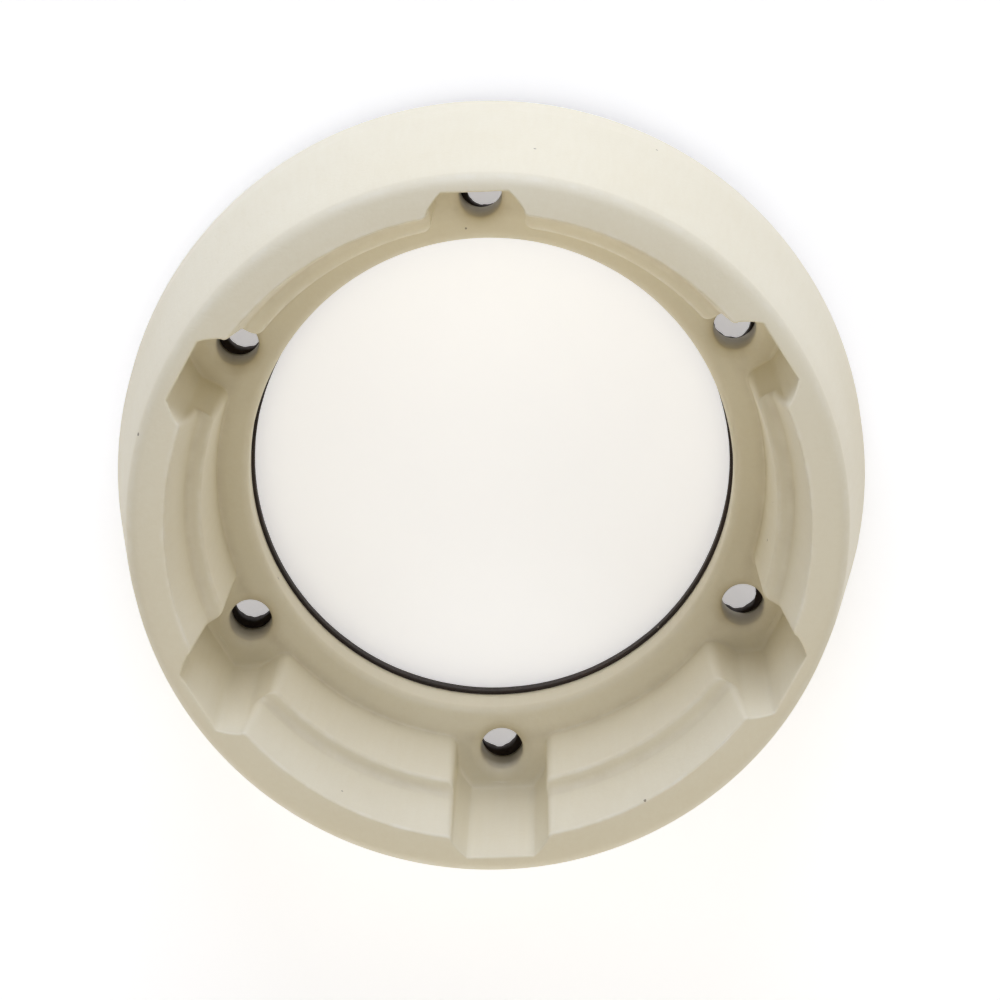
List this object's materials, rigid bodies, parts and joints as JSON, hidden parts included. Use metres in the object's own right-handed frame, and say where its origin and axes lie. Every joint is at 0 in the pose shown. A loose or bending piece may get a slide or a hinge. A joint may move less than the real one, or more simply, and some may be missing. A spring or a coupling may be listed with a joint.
{
  "type": "toilet flange",
  "caption": "Thick moulded ring with a stepped funnel, open bolt pockets round the bore and a flat rubber gasket on its rear face.",
  "frame": {"origin": "centre of the mounting face, under the gasket", "axes": "+Z along the bore towards the toilet; -Y through the middle of one bolt pocket"},
  "size_m": [0.1568, 0.1568, 0.0571],
  "materials": {
    "ivory_plastic": "matte to satin moulded plastic, warm off-white",
    "black_rubber": "matte brown-black rubber with cut edges"
  },
  "bodies": {
    "root": {"flange_body": "ivory_plastic", "rear_gasket": "black_rubber"}
  },
  "joints": []
}
